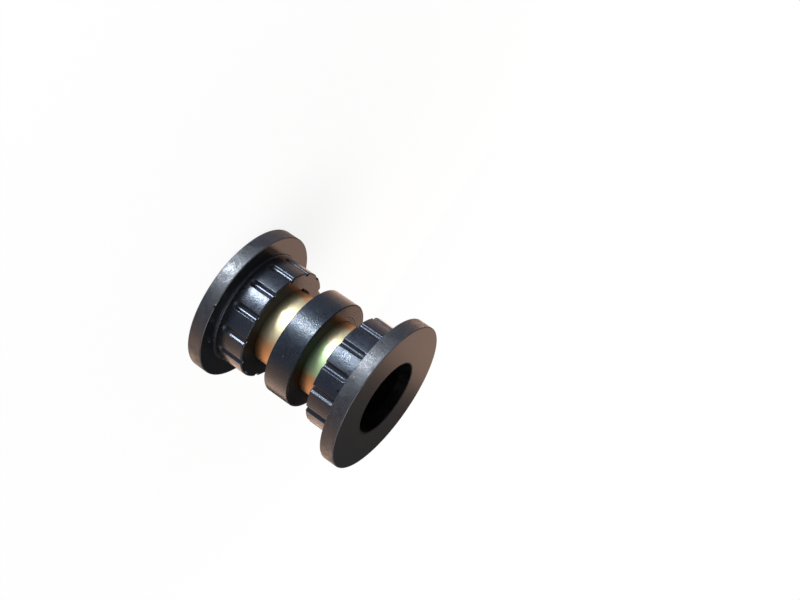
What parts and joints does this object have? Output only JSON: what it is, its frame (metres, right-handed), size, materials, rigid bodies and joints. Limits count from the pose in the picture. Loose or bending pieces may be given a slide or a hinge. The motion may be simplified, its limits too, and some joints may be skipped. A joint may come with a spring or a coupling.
{
  "type": "rubber metal bush",
  "caption": "Suspension bush: flanged rubber ends with grooved hubs pressed onto a zinc-plated steel sleeve, with a black spacer ring round its middle.",
  "frame": {"origin": "centre of the lower flange's outer face, on the axis", "axes": "+Z along the bush's axis, from the lower flange to the upper flange; +X through the middle of a land between two of the lower hub's grooves, -Y the front"},
  "size_m": [0.06, 0.06, 0.068],
  "materials": {
    "moulded_rubber": "black moulded rubber, satin flanges with a cloudy sheen and glossier hubs, lightly scuffed",
    "ring_rubber": "glossy black rubber with faint turning marks on its end faces",
    "zinc_plated_steel": "yellow passivated zinc plating on steel, with a faint green and orange sheen"
  },
  "bodies": {
    "root": {"lower_flanged_bush": "moulded_rubber", "upper_flanged_bush": "moulded_rubber", "inner_sleeve": "zinc_plated_steel", "spacer_ring": "ring_rubber"}
  },
  "joints": []
}
